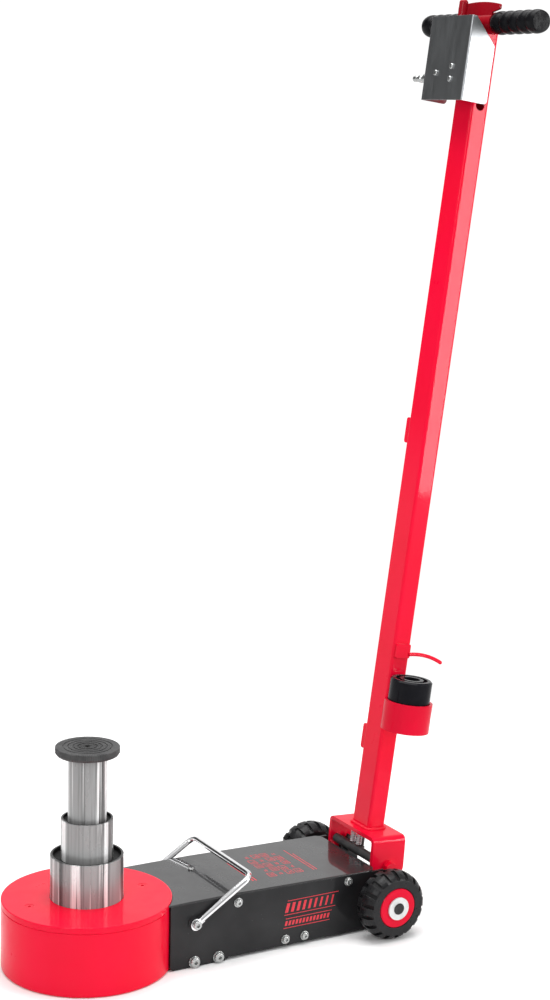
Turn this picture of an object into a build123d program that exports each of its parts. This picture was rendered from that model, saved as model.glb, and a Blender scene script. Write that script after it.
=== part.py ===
"""Air-hydraulic axle jack: a drum with a three-stage ram on a two-wheeled chassis with a tilting handle.

Millimetres. +Z is up and the floor is Z = 0. The origin is on the floor under the ram's axis.
+X runs from the ram back to the wheels, and -Y is the near side, where the spare extension hangs.
The ram stands fully raised, and the handle leans back as it does when the jack is parked.
"""
import os
from math import cos, radians, sin, sqrt

from build123d import *

MIN = (Align.CENTER, Align.CENTER, Align.MIN)

# Drum
DRUM_RADIUS = 120.0
DRUM_HEIGHT = 101.0
LID_THICKNESS = 8.8
SHELL_THICKNESS = 7.0
BASE_THICKNESS = 14.0
LID_SCREW_X = 87.0

# Ram, listed from the outer stage to the inner one
STAGE_RADII = (51.5, 36.5, 27.25)
STAGE_TOPS = (164.0, 217.0, 309.0)
STAGE_FEET = (76.0, 128.0, 190.0)
BORE_RADII = (56.0, 41.0, 31.0)
GLAND_RADII = (56.0, 48.0, 33.5)
HEAD_HEIGHT = 9.0
GLAND_RECESS = (0.0, 6.0, 4.0)
RUNNING_GAP = 0.05
MOVING_GAP = 0.35
SADDLE_RADIUS = 45.0
SADDLE_THICKNESS = 11.0
SPIGOT_RADIUS = 12.5
SPIGOT_LENGTH = 20.0

# Chassis
CHASSIS_HALF_WIDTH = 83.3
PLATE_THICKNESS = 4.0
PLATE_INSIDE = CHASSIS_HALF_WIDTH - PLATE_THICKNESS
COVER_FRONT_TOP = 98.5
COVER_BEND_X = 200.0
COVER_REAR_X = 431.5
COVER_CORNER_RADIUS = 15.0
COVER_REAR_TOP = 93.6
COVER_THICKNESS = 2.0
PLATE_REAR_X = 478.0
PLATE_FOOT_X = 178.0
PLATE_BOTTOM = 4.5
FLANGE_THICKNESS = 1.8
UPPER_SCREWS = ((197.6, 84.5), (382.0, 83.5))
LOWER_SCREWS = ((277.0, 13.8), (309.0, 13.8))
FOOT_BOLTS = ((128.3, 8.6), (166.8, 8.6))

# Wheels
WHEEL_X = 435.0
WHEEL_RADIUS = 51.5
WHEEL_MIDDLE_Y = 117.0
WHEEL_HALF_WIDTH = 20.5
RIM_RADIUS = 29.5
AXLE_RADIUS = 8.5
AXLE_ROOM_Z = 42.0
TREAD_BLOCKS = 18
TREAD_DEPTH = 5.5

# Handle: its plane has local x rearwards, local y along Y and local z up the tube
HANDLE_LEAN = 7.36
HANDLE_FOOT = (452.06, 0.0, 8.9)
HANDLE = Plane(
    origin=HANDLE_FOOT,
    x_dir=(cos(radians(HANDLE_LEAN)), 0, -sin(radians(HANDLE_LEAN))),
    z_dir=(sin(radians(HANDLE_LEAN)), 0, cos(radians(HANDLE_LEAN))),
)
TUBE_DEPTH = 30.0
TUBE_WIDTH = 45.0
TUBE_WALL = 2.5
TUBE_TOP = 1314.5
HOSE_PORT_HEIGHT = 1209.5
HOSE_PORT_RADIUS = 7.5
HOSE_TAB_HEIGHTS = (256.0, 726.0)

# Yoke at the handle's foot, and the pivot that it turns on
YOKE_LEAN = 3.5
YOKE_TOP = (467.0, 0.0, 130.7)
YOKE = Plane(
    origin=YOKE_TOP,
    x_dir=(cos(radians(YOKE_LEAN)), 0, -sin(radians(YOKE_LEAN))),
    z_dir=(sin(radians(YOKE_LEAN)), 0, cos(radians(YOKE_LEAN))),
)
YOKE_HALF_DEPTH = 28.5
YOKE_HALF_WIDTH = 62.5
YOKE_PLATE = 6.0
YOKE_DROP = 60.0
PIVOT_X = 466.0
PIVOT_Z = 84.0
PIVOT_RADIUS = 6.0
EAR_RADIUS = 17.0
EAR_OUTSIDE = 52.0
EAR_THICKNESS = 6.0

# Lock bar and its release lever, in the handle's plane
LOCK_BAR_X = -18.3
LOCK_BAR_HEIGHT = 86.5
LOCK_BAR_RADIUS = 7.0
LOCK_SPRING_Y = 8.5
LOCK_ROD_X = -7.0
LEVER_HEIGHT = 395.5
LEVER_SLOT = 13.0
NOTCH_ANGLES = (-65.5, -30.5, 14.5)
NOTCH_DISTANCE = 20.5

# Spare extension and its holder, in the handle's plane
HOLDER_Y = -58.5
HOLDER_RADIUS = 36.0
HOLDER_BORE = 32.0
HOLDER_BOTTOM = 287.7
HOLDER_TOP = 331.5
EXTENSION_RADIUS = 31.3
EXTENSION_TOP = 365.0

# Handle head, in the handle's plane
CROSSBAR_X = 1.0
CROSSBAR_HEIGHT = 1327.0
CROSSBAR_RADIUS = 12.5
GRIP_INNER = 36.0
GRIP_OUTER = 139.0
GRIP_RIDGES = 5
COVER_FRONT = -55.0
COVER_REAR = -10.0
COVER_LOW = 1209.0
COVER_HIGH = 1329.0
COVER_HALF_WIDTH = 51.5
COVER_SHEET = 1.5
PADDLE_HALF_WIDTH = 52.0
PLUNGER = (-31.0, -6.0)
KNOB = (-29.0, 13.7)
INLET = (-46.0, 1241.0)
BLOCK_LOW = 1225.0
BLOCK_HIGH = 1272.0
CONTROL_SCREWS = ((21.3, 1248.0), (-16.6, 1257.0), (-16.2, 1239.0))

# Carry handle: its plane has local x along the legs
BAIL_ANGLE = 32.4
BAIL_PIVOT = (127.0, 0.0, 67.0)
BAIL = Plane(
    origin=BAIL_PIVOT,
    x_dir=(cos(radians(BAIL_ANGLE)), 0, sin(radians(BAIL_ANGLE))),
    z_dir=(-sin(radians(BAIL_ANGLE)), 0, cos(radians(BAIL_ANGLE))),
)
BAIL_REACH = 105.0
BAIL_HALF_WIDTH = 89.0
BAIL_ROD = 4.5

# Air-driven pump inside the chassis
PUMP_AXIS_Z = 50.0
PUMP_BLOCK_FRONT = 190.0
PUMP_BLOCK_REAR = 250.0
AIR_BORE = 34.0
PISTON_X = 312.0


def rod(start, end, radius):
    """Solid round bar between two points."""
    start = Vector(*start)
    along = Vector(*end) - start
    return Plane(origin=start, z_dir=along) * Cylinder(radius, along.length, align=MIN)


def ring(start, end, outer, inner):
    """Round tube between two points."""
    return rod(start, end, outer) - rod(start, end, inner)


def slab(x, y, z):
    """Block given by its low and high value along each axis."""
    middle = [(low + high) / 2 for low, high in (x, y, z)]
    return Pos(*middle) * Box(x[1] - x[0], y[1] - y[0], z[1] - z[0])


def disc(radius, low, high):
    """Round disc about the ram's axis."""
    return rod((0, 0, low), (0, 0, high), radius)


def side_profile(points, low, high):
    """Outline drawn in X and Z, given thickness from low to high along Y."""
    face = make_face(Plane.XZ * Polyline(*points, close=True))
    return Pos(0, low, 0) * extrude(face, amount=high - low, dir=(0, 1, 0))


def front_profile(points, low, high):
    """Outline drawn in Y and Z, given thickness from low to high along X."""
    face = make_face(Plane.YZ * Polyline(*points, close=True))
    return Pos(low, 0, 0) * extrude(face, amount=high - low, dir=(1, 0, 0))


def both_sides(shape):
    """The shape and its mirror image across the middle plane."""
    return Compound([shape, mirror(shape, about=Plane.XZ)])


def side_bolt(x, z, washer, head, head_height, socket, shank, reach):
    """Button-head bolt on a washer, square to the near side plate."""
    outside = CHASSIS_HALF_WIDTH
    seat = outside + 1.3
    body = rod((x, -outside, z), (x, -seat, z), washer)
    top = rod((x, -seat, z), (x, -seat - head_height, z), head)
    body += fillet(top.edges().group_by(Axis.Y)[0], head_height * 0.45)
    cut = Plane(origin=(x, -seat - head_height, z), z_dir=(0, 1, 0))
    body -= cut * extrude(RegularPolygon(socket, 6), amount=head_height * 0.6)
    return body + rod((x, -outside, z), (x, reach - outside, z), shank)


def base_plate():
    return disc(DRUM_RADIUS - SHELL_THICKNESS, 0, BASE_THICKNESS)


def reservoir_shell():
    top = DRUM_HEIGHT - LID_THICKNESS
    shell = disc(DRUM_RADIUS, 0, top)
    shell = fillet(shell.edges().sort_by(Axis.Z)[0], 4.0)
    shell = chamfer(shell.edges().sort_by(Axis.Z)[-1], 0.7)
    return shell - disc(DRUM_RADIUS - SHELL_THICKNESS, 0, top)


def reservoir_lid():
    lid = disc(DRUM_RADIUS, DRUM_HEIGHT - LID_THICKNESS, DRUM_HEIGHT)
    lid = chamfer(lid.edges().sort_by(Axis.Z)[0], 0.7)
    lid = fillet(lid.edges().sort_by(Axis.Z)[-1], 1.2)
    lid -= disc(STAGE_RADII[0] + MOVING_GAP, DRUM_HEIGHT - LID_THICKNESS, DRUM_HEIGHT)
    for x in (-LID_SCREW_X, LID_SCREW_X):
        lid -= countersunk_screw(x)
        lid -= rod((x, 0, DRUM_HEIGHT - 0.3), (x, 0, DRUM_HEIGHT), 6.9)
    return lid


def countersunk_screw(x):
    top = DRUM_HEIGHT - 0.3
    head = Pos(x, 0, top - 3.6) * Cone(3.0, 6.6, 3.6, align=MIN)
    return head + rod((x, 0, DRUM_HEIGHT - LID_THICKNESS), (x, 0, top - 3.6), 3.0)


def lid_screws():
    screws = []
    for x in (-LID_SCREW_X, LID_SCREW_X):
        socket = Pos(x, 0, DRUM_HEIGHT - 3.3) * extrude(RegularPolygon(2.6, 6), amount=3.3)
        screws.append(countersunk_screw(x) - socket)
    return Compound(screws)


def cylinder_barrel():
    top = DRUM_HEIGHT - LID_THICKNESS
    return ring((0, 0, BASE_THICKNESS), (0, 0, top), BORE_RADII[0] + 8.0, BORE_RADII[0])


def cylinder_gland():
    low = STAGE_FEET[0] + HEAD_HEIGHT + 0.5
    high = DRUM_HEIGHT - LID_THICKNESS
    return ring((0, 0, low), (0, 0, high), GLAND_RADII[0], STAGE_RADII[0] + RUNNING_GAP)


def seal_groove(stage, clearance):
    """Band near the foot of a stage, where its piston seal sits."""
    low = STAGE_FEET[stage] + 2.5
    bore = BORE_RADII[stage]
    return ring((0, 0, low), (0, 0, low + 4.0), bore - clearance, bore - 4.0)


def stage_blank(stage):
    """Outside of one ram stage: its polished wall and the piston head at its foot."""
    wall = disc(STAGE_RADII[stage], STAGE_FEET[stage], STAGE_TOPS[stage])
    wall = chamfer(wall.edges().sort_by(Axis.Z)[-1], 0.8)
    head = disc(BORE_RADII[stage] - 0.4, STAGE_FEET[stage], STAGE_FEET[stage] + HEAD_HEIGHT)
    return wall + head - seal_groove(stage, 0.0)


def stage_tube(stage):
    """Hollow stage, bored for the next one, with a seat for that one's gland."""
    foot = STAGE_FEET[stage]
    seat = STAGE_FEET[stage + 1] + HEAD_HEIGHT + 0.5
    tube = stage_blank(stage) - disc(BORE_RADII[stage + 1], foot, seat)
    return tube - disc(GLAND_RADII[stage + 1], seat, STAGE_TOPS[stage])


def stage_gland(stage):
    """Bronze guide ring in the mouth of a stage, round the next stage."""
    low = STAGE_FEET[stage + 1] + HEAD_HEIGHT + 0.5
    high = STAGE_TOPS[stage] - GLAND_RECESS[stage + 1]
    gland = ring((0, 0, low), (0, 0, high), GLAND_RADII[stage + 1], STAGE_RADII[stage + 1] + RUNNING_GAP)
    return gland


def inner_rod():
    rod_blank = stage_blank(2)
    return rod_blank - disc(SPIGOT_RADIUS + RUNNING_GAP, STAGE_TOPS[2] - SPIGOT_LENGTH - 3, STAGE_TOPS[2])


def saddle():
    low = STAGE_TOPS[2]
    high = low + SADDLE_THICKNESS
    plate = disc(SADDLE_RADIUS, low, high)
    plate = chamfer(plate.edges().group_by(Axis.Z)[0], 3.0, 2.0)
    plate = chamfer(plate.edges().group_by(Axis.Z)[-1], 0.8)
    for radius in (13.0, 20.0, 27.0, 34.0):
        plate -= ring((0, 0, high - 1.0), (0, 0, high), radius + 1.1, radius - 1.1)
    plate += disc(SPIGOT_RADIUS, low - SPIGOT_LENGTH, low)
    return plate - disc(4.0, high - 8.0, high)


def drum_clearance(gap):
    return disc(DRUM_RADIUS + gap, -1, DRUM_HEIGHT + 50)


def manifold_block():
    """Hydraulic block that carries oil from the pump to the drum and ties the two together."""
    block = slab((100, PUMP_BLOCK_FRONT), (-70, 70), (3, 62)) - drum_clearance(0.0)
    feet = slab((112, 184), (-PLATE_INSIDE, PLATE_INSIDE), (3, 15)) - drum_clearance(0.0)
    block += feet
    for x, z in FOOT_BOLTS:
        block -= rod((x, -PLATE_INSIDE, z), (x, -66, z), 4.0)
        block -= rod((x, PLATE_INSIDE, z), (x, 66, z), 4.0)
    return block


def release_valve():
    """Spring-closed release valve on top of the hydraulic block, opened by air from the head."""
    body = Pos(158, 34, 62) * extrude(RegularPolygon(10, 6), amount=9)
    body += rod((158, 34, 71), (158, 34, 86), 6.5)
    return body + rod((158, 34, 80), (172, 34, 80), 3.5)


def plate_outline():
    top_front = COVER_FRONT_TOP - COVER_THICKNESS
    top_rear = COVER_REAR_TOP - COVER_THICKNESS
    front = sqrt(DRUM_RADIUS**2 - PLATE_INSIDE**2) + 0.6
    return [
        (front, 5.0),
        (front + 4.0, 1.0),
        (PLATE_FOOT_X, 1.0),
        (PLATE_FOOT_X + 6.0, PLATE_BOTTOM),
        (PLATE_REAR_X - 10.0, PLATE_BOTTOM),
        (PLATE_REAR_X, PLATE_BOTTOM + 10.0),
        (PLATE_REAR_X, 66.0),
        (PLATE_REAR_X - 34.0, top_rear),
        (COVER_REAR_X, top_rear),
        (COVER_BEND_X, top_front),
        (front, top_front),
    ]


def side_plate():
    """Near side plate of the chassis."""
    plate = side_profile(plate_outline(), -CHASSIS_HALF_WIDTH, -PLATE_INSIDE)
    for x, z in UPPER_SCREWS + LOWER_SCREWS:
        plate -= rod((x, -90, z), (x, -70, z), 3.0)
    for x, z in FOOT_BOLTS:
        plate -= rod((x, -90, z), (x, -70, z), 4.0)
    plate -= rod((BAIL_PIVOT[0], -90, BAIL_PIVOT[2]), (BAIL_PIVOT[0], -70, BAIL_PIVOT[2]), 4.0)
    return plate - rod((WHEEL_X, -90, WHEEL_RADIUS), (WHEEL_X, -70, WHEEL_RADIUS), AXLE_RADIUS)


def top_cover():
    """Folded cover over the pump, with flanges inside the side plates, hollowed to fit the drum."""
    outline = [
        (80.0, COVER_FRONT_TOP),
        (COVER_BEND_X, COVER_FRONT_TOP),
        (COVER_REAR_X, COVER_REAR_TOP),
        (COVER_REAR_X, COVER_REAR_TOP - COVER_THICKNESS),
        (COVER_BEND_X, COVER_FRONT_TOP - COVER_THICKNESS),
        (80.0, COVER_FRONT_TOP - COVER_THICKNESS),
    ]
    sheet = side_profile(outline, -CHASSIS_HALF_WIDTH, CHASSIS_HALF_WIDTH)
    edges = sheet.edges().filter_by(lambda e: abs(e.center().Y) > 83 and e.length > 100)
    top_edges = [e for e in edges if on_cover_top(e.center())]
    sheet = fillet(top_edges, 1.7)
    sheet -= rear_corner()
    sheet -= mirrored(rear_corner())
    flange_outline = [(x, z - COVER_THICKNESS) for x, z in outline[:3]]
    flange_outline = flange_outline + [(x, z - 22.0) for x, z in reversed(outline[:3])]
    flange_outline = [(min(max(x, 96.0), COVER_REAR_X - 8.0), z) for x, z in flange_outline]
    flange = side_profile(flange_outline, FLANGE_THICKNESS - PLATE_INSIDE, 0.4 - PLATE_INSIDE + FLANGE_THICKNESS * 2)
    for x, z in UPPER_SCREWS:
        flange -= rod((x, -90, z), (x, -60, z), 3.0)
    flange = Pos(0, -FLANGE_THICKNESS + 0.2, 0) * flange
    sheet += flange
    sheet += mirror(flange, about=Plane.XZ)
    sheet -= rod((180, 28.5, 80), (180, 28.5, 110), 3.1)
    return sheet - drum_clearance(0.5)


def rear_corner():
    """What is taken off the cover's near rear corner to round it in plan."""
    r = COVER_CORNER_RADIUS
    x = COVER_REAR_X - r
    y = r - CHASSIS_HALF_WIDTH
    block = slab((x, COVER_REAR_X + 2), (-CHASSIS_HALF_WIDTH - 2, y), (60, 110))
    return block - rod((x, y, 50), (x, y, 120), r)


def on_cover_top(point):
    """True for a point on the cover's upper surface."""
    slope = (COVER_FRONT_TOP - COVER_REAR_TOP) / (COVER_REAR_X - COVER_BEND_X)
    height = COVER_FRONT_TOP - max(0.0, point.X - COVER_BEND_X) * slope
    return point.Z > height - 0.5


def filler_plug():
    """Oil filler plug that shows through the cover."""
    head = rod((180, 28.5, 98.7), (180, 28.5, 101.2), 4.4)
    head = fillet(head.edges().sort_by(Axis.Z)[-1], 0.8)
    head -= Pos(180, 28.5, 99.4) * extrude(RegularPolygon(2.2, 6), amount=2)
    return head + rod((180, 28.5, 62), (180, 28.5, 98.7), 2.9)


def cover_screws():
    bolts = []
    for x, z in UPPER_SCREWS + LOWER_SCREWS:
        bolt = side_bolt(x, z, washer=6.9, head=5.3, head_height=3.6, socket=2.4, shank=2.95, reach=8.5)
        bolts.append(both_sides(bolt))
    return Compound(bolts)


def foot_bolts():
    bolts = []
    for x, z in FOOT_BOLTS:
        bolt = side_bolt(x, z, washer=8.6, head=7.4, head_height=5.0, socket=3.0, shank=3.95, reach=16.0)
        bolts.append(both_sides(bolt))
    return Compound(bolts)


def bail_bolts():
    """Shoulder bolts that the carry handle turns on."""
    x = BAIL_PIVOT[0]
    z = BAIL_PIVOT[2]
    bolt = ring((x, -CHASSIS_HALF_WIDTH, z), (x, -84.5, z), 8.0, 4.0)
    bolt += rod((x, -92.8, z), (x, -74.0, z), 4.0)
    head = rod((x, -97.0, z), (x, -92.6, z), 6.2)
    head = fillet(head.edges().sort_by(Axis.Y)[0], 1.2)
    bolt += head
    cut = Plane(origin=(x, -97.0, z), z_dir=(0, 1, 0))
    bolt -= cut * extrude(RegularPolygon(3.4, 6), amount=3.0)
    nut = Plane(origin=(x, -PLATE_INSIDE, z), z_dir=(0, 1, 0)) * extrude(RegularPolygon(7.4, 6), amount=5.0)
    return both_sides(bolt + nut)


def floor_pan():
    """Tray under the pump, screwed to the side plates along its flanges."""
    pan = slab((PUMP_BLOCK_FRONT + 1, 455), (-PLATE_INSIDE + 0.2, PLATE_INSIDE - 0.2), (4.8, 7.2))
    flange = slab((PUMP_BLOCK_FRONT + 5, 400), (-PLATE_INSIDE + 0.2, -PLATE_INSIDE + 2.4), (4.8, 24.0))
    for x, z in LOWER_SCREWS:
        flange -= rod((x, -90, z), (x, -60, z), 3.0)
    return pan + flange + mirror(flange, about=Plane.XZ)


def rear_cross_plate():
    return slab((434, 440), (-PLATE_INSIDE + 0.1, PLATE_INSIDE - 0.1), (7.2, AXLE_ROOM_Z))


def hinge_bracket():
    """Bracket behind the chassis: two ears that the handle turns on, with notched rims for the lock bar."""
    ear = slab((452, 480), (-EAR_OUTSIDE, EAR_THICKNESS - EAR_OUTSIDE), (24, PIVOT_Z))
    rim = rod((PIVOT_X, -EAR_OUTSIDE, PIVOT_Z), (PIVOT_X, EAR_THICKNESS - EAR_OUTSIDE, PIVOT_Z), EAR_RADIUS)
    ear += rim
    for angle in NOTCH_ANGLES:
        x = PIVOT_X + NOTCH_DISTANCE * sin(radians(angle))
        z = PIVOT_Z + NOTCH_DISTANCE * cos(radians(angle))
        ear -= rod((x, -60, z), (x, -40, z), LOCK_BAR_RADIUS + 0.4)
    ear += rod((PIVOT_X, -46.5, PIVOT_Z), (PIVOT_X, -38, PIVOT_Z), 10.0)
    ear -= rod((PIVOT_X, -60, PIVOT_Z), (PIVOT_X, -30, PIVOT_Z), PIVOT_RADIUS)
    base = slab((440, 480), (-EAR_OUTSIDE, EAR_OUTSIDE), (24, 30))
    face = slab((440, 444), (-EAR_OUTSIDE, EAR_OUTSIDE), (10, AXLE_ROOM_Z))
    return base + face + ear + mirror(ear, about=Plane.XZ)


def pivot_bolts():
    y = YOKE_HALF_WIDTH + 0.4
    bolt = rod((PIVOT_X, -y - 1.4, PIVOT_Z), (PIVOT_X, -y, PIVOT_Z), 11.0)
    head = Plane(origin=(PIVOT_X, -y - 1.4, PIVOT_Z), z_dir=(0, -1, 0))
    bolt += head * extrude(RegularPolygon(9.6, 6), amount=6.5)
    bolt += rod((PIVOT_X, -y, PIVOT_Z), (PIVOT_X, -37, PIVOT_Z), PIVOT_RADIUS - 0.02)
    return both_sides(bolt)


def pivot_spacers():
    spacer = ring((PIVOT_X, -56.1, PIVOT_Z), (PIVOT_X, -EAR_OUTSIDE, PIVOT_Z), 10.0, PIVOT_RADIUS)
    return both_sides(spacer)


def pump_block():
    """High-pressure pump body, with the plunger's bore."""
    block = slab((PUMP_BLOCK_FRONT, PUMP_BLOCK_REAR), (-30, 30), (18, 80))
    block = chamfer(block.edges().filter_by(Axis.X), 4.0)
    start = PUMP_BLOCK_FRONT + 10.0
    return block - rod((start, 0, PUMP_AXIS_Z), (PUMP_BLOCK_REAR, 0, PUMP_AXIS_Z), 8.0 + RUNNING_GAP)


def air_cylinder():
    start = (PUMP_BLOCK_REAR, 0, PUMP_AXIS_Z)
    end = (PUMP_BLOCK_REAR + 80, 0, PUMP_AXIS_Z)
    barrel = ring(start, end, AIR_BORE + 3.0, AIR_BORE)
    return barrel + ring(start, (PUMP_BLOCK_REAR + 4, 0, PUMP_AXIS_Z), AIR_BORE + 3.0, 10.0)


def air_cylinder_cap():
    start = PUMP_BLOCK_REAR + 80
    cap = rod((start, 0, PUMP_AXIS_Z), (start + 8, 0, PUMP_AXIS_Z), AIR_BORE + 5.0)
    cap += rod((start + 8, 0, PUMP_AXIS_Z), (start + 20, 0, PUMP_AXIS_Z), 9.0)
    return cap - rod((start, 0, PUMP_AXIS_Z), (start + 20, 0, PUMP_AXIS_Z), 4.0)


def air_piston():
    """Air piston with the pump's plunger in one piece."""
    piston = rod((PISTON_X, 0, PUMP_AXIS_Z), (PISTON_X + 10, 0, PUMP_AXIS_Z), AIR_BORE - RUNNING_GAP)
    return piston + rod((PISTON_X - 78, 0, PUMP_AXIS_Z), (PISTON_X, 0, PUMP_AXIS_Z), 8.0)


def return_spring():
    start = (PUMP_BLOCK_REAR + 4.2, 0, PUMP_AXIS_Z)
    return ring(start, (PISTON_X - 0.2, 0, PUMP_AXIS_Z), 16.0, 12.0)


def wheel_axle():
    reach = WHEEL_MIDDLE_Y + WHEEL_HALF_WIDTH + 5.0
    axle = rod((WHEEL_X, -reach, WHEEL_RADIUS), (WHEEL_X, reach, WHEEL_RADIUS), AXLE_RADIUS)
    return chamfer(axle.edges().filter_by(GeomType.CIRCLE), 1.2)


def axle_spacers():
    inner = WHEEL_MIDDLE_Y - WHEEL_HALF_WIDTH - 0.6
    start = (WHEEL_X, -inner, WHEEL_RADIUS)
    return both_sides(ring(start, (WHEEL_X, -CHASSIS_HALF_WIDTH, WHEEL_RADIUS), 13.5, AXLE_RADIUS))


def axle_washers():
    outer = WHEEL_MIDDLE_Y + WHEEL_HALF_WIDTH + 1.0
    start = (WHEEL_X, -outer - 2.2, WHEEL_RADIUS)
    washer = ring(start, (WHEEL_X, -outer, WHEEL_RADIUS), 17.0, AXLE_RADIUS)
    return both_sides(washer)


def wheel_ring(points):
    """Outline of radius and sideways place, turned about the near wheel's own axis."""
    face = make_face(Plane.XY * Polyline(*points, close=True))
    turned = revolve(face, Axis.Y)
    return Pos(WHEEL_X, -WHEEL_MIDDLE_Y, WHEEL_RADIUS) * turned


def tread_groove(side, angle):
    """Slot between two tread blocks: it runs from the middle of the tread out over one shoulder."""
    bottom = WHEEL_RADIUS - TREAD_DEPTH
    slot = Pos(0, side * 14.0, bottom + 4.5) * (Rot(side * -20, 0, 0) * Box(6.4, 25.0, 12.0))
    return Pos(WHEEL_X, -WHEEL_MIDDLE_Y, WHEEL_RADIUS) * (Rot(0, angle, 0) * slot)


def tyre():
    """Near tyre: flat side walls, a rounded crown and a chunky tread."""
    w = WHEEL_HALF_WIDTH
    r = WHEEL_RADIUS
    inner = RIM_RADIUS
    half = [
        (inner, w - 1.5), (inner + 1.5, w), (r - 9.5, w), (r - 7.4, w - 1.2), (r - 5.0, w - 3.6),
        (r - 2.2, w - 7.6), (r - 0.6, w - 12.0), (r, w - 16.5),
    ]
    outline = half + [(radius, -across) for radius, across in reversed(half)]
    body = wheel_ring(outline)
    pitch = 360.0 / TREAD_BLOCKS
    grooves = []
    for block in range(TREAD_BLOCKS):
        grooves.append(tread_groove(-1, block * pitch))
        grooves.append(tread_groove(1, (block + 0.5) * pitch))
    return body - grooves


def rim():
    """Near rim: a flat disc outside, with a hub and an outer ring behind it."""
    w = WHEEL_HALF_WIDTH
    bore = AXLE_RADIUS + RUNNING_GAP
    outline = [
        (bore, -w - 0.5), (RIM_RADIUS - 1.2, -w - 0.5), (RIM_RADIUS, -w + 0.7), (RIM_RADIUS, w),
        (RIM_RADIUS - 3.0, w), (RIM_RADIUS - 3.0, 9 - w), (18.5, 9 - w), (18.5, w), (bore, w),
    ]
    return wheel_ring(outline)


def yoke():
    """Inverted channel at the foot of the handle, which straddles the hinge bracket."""
    outer = slab((-YOKE_HALF_DEPTH, YOKE_HALF_DEPTH), (-YOKE_HALF_WIDTH, YOKE_HALF_WIDTH), (-YOKE_DROP, 0))
    ridge = [e for e in outer.edges().filter_by(Axis.X) if e.center().Z > -1]
    outer = fillet(ridge, 9.0)
    corners = [e for e in outer.edges().filter_by(Axis.Y) if e.center().Z < 1 - YOKE_DROP]
    outer = fillet(corners, 12.0)
    inside = YOKE_HALF_WIDTH - YOKE_PLATE
    inner = slab((-40, 40), (-inside, inside), (-YOKE_DROP - 5, -YOKE_PLATE))
    ridge = [e for e in inner.edges().filter_by(Axis.X) if e.center().Z > -YOKE_PLATE - 1]
    channel = YOKE * (outer - fillet(ridge, 3.5))
    channel -= HANDLE * rod((LOCK_ROD_X, 0, 100), (LOCK_ROD_X, 0, 150), 4.6)
    bore = rod((PIVOT_X, -70, PIVOT_Z), (PIVOT_X, 70, PIVOT_Z), PIVOT_RADIUS + RUNNING_GAP)
    return channel - bore


def rounded_bar(depth, width, low, high, corner):
    """Bar with rounded edges, standing on the handle's axis."""
    return Pos(0, 0, low) * extrude(RectangleRounded(depth, width, corner), amount=high - low)


def handle_tube():
    wall = TUBE_WALL * 2
    tube = rounded_bar(TUBE_DEPTH, TUBE_WIDTH, 105, TUBE_TOP, 4.0)
    tube -= rounded_bar(TUBE_DEPTH - wall, TUBE_WIDTH - wall, 105, TUBE_TOP - 3, 1.5)
    tube -= slab((-10, 0), (-24, -18), (LEVER_HEIGHT - 5, LEVER_HEIGHT + LEVER_SLOT))
    tube -= rod((0, -24, HOSE_PORT_HEIGHT), (0, -18, HOSE_PORT_HEIGHT), HOSE_PORT_RADIUS)
    return HANDLE * tube - YOKE * slab((-50, 50), (-50, 50), (-60, 0))


def hose_tabs():
    """Welded tabs up the far side of the tube, which a hose is tied to."""
    tabs = []
    for height in HOSE_TAB_HEIGHTS:
        tab = slab((-13.5, -10.5), (TUBE_WIDTH / 2, TUBE_WIDTH / 2 + 8), (height - 19, height + 19))
        corners = [e for e in tab.edges().filter_by(Axis.X) if e.center().Y > TUBE_WIDTH / 2 + 4]
        tabs.append(HANDLE * fillet(corners, 4.0))
    return Compound(tabs)


def extension_holder():
    """Cup on the near side of the tube for the spare extension."""
    bottom = (0, HOLDER_Y, HOLDER_BOTTOM)
    cup = rod(bottom, (0, HOLDER_Y, HOLDER_TOP), HOLDER_RADIUS)
    cup += slab((-9, 9), (-30, -TUBE_WIDTH / 2), (HOLDER_BOTTOM, HOLDER_TOP))
    return HANDLE * (cup - rod((0, HOLDER_Y, HOLDER_BOTTOM + 4), (0, HOLDER_Y, HOLDER_TOP + 5), HOLDER_BORE))


def extension_piece():
    """Spare extension: a spigot for the ram's bore below, and a socket for the saddle on top."""
    foot = HOLDER_BOTTOM + 4.3
    low = foot + SPIGOT_LENGTH
    body = rod((0, HOLDER_Y, low), (0, HOLDER_Y, EXTENSION_TOP), EXTENSION_RADIUS)
    body = chamfer(body.edges().filter_by(GeomType.CIRCLE), 2.4)
    body -= ring((0, HOLDER_Y, EXTENSION_TOP - 3.5), (0, HOLDER_Y, EXTENSION_TOP), 24.0, 18.0)
    body += rod((0, HOLDER_Y, foot), (0, HOLDER_Y, low), SPIGOT_RADIUS)
    return HANDLE * (body - rod((0, HOLDER_Y, EXTENSION_TOP - 22), (0, HOLDER_Y, EXTENSION_TOP), SPIGOT_RADIUS + 0.1))


def lock_bar():
    """Cross bar that drops into the hinge bracket's notches, with the rod that lifts it."""
    x = LOCK_BAR_X
    z = LOCK_BAR_HEIGHT
    bar = rod((x, -54, z), (x, 54, z), LOCK_BAR_RADIUS)
    bar = chamfer(bar.edges().filter_by(GeomType.CIRCLE), 1.5)
    bar += slab((x, LOCK_ROD_X + 3), (-5, 5), (z - 4, z + 4))
    return HANDLE * (bar + rod((LOCK_ROD_X, 0, z - 2), (LOCK_ROD_X, 0, LEVER_HEIGHT + 8), 4.0))


def lock_springs():
    """Two springs that press the lock bar down, each as its outer sleeve."""
    springs = []
    for y in (-LOCK_SPRING_Y, LOCK_SPRING_Y):
        low = LOCK_BAR_HEIGHT + LOCK_BAR_RADIUS + 0.2
        springs.append(HANDLE * ring((LOCK_BAR_X, y, low), (LOCK_BAR_X, y, 115.0), 4.6, 2.8))
    return Compound(springs)


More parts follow.
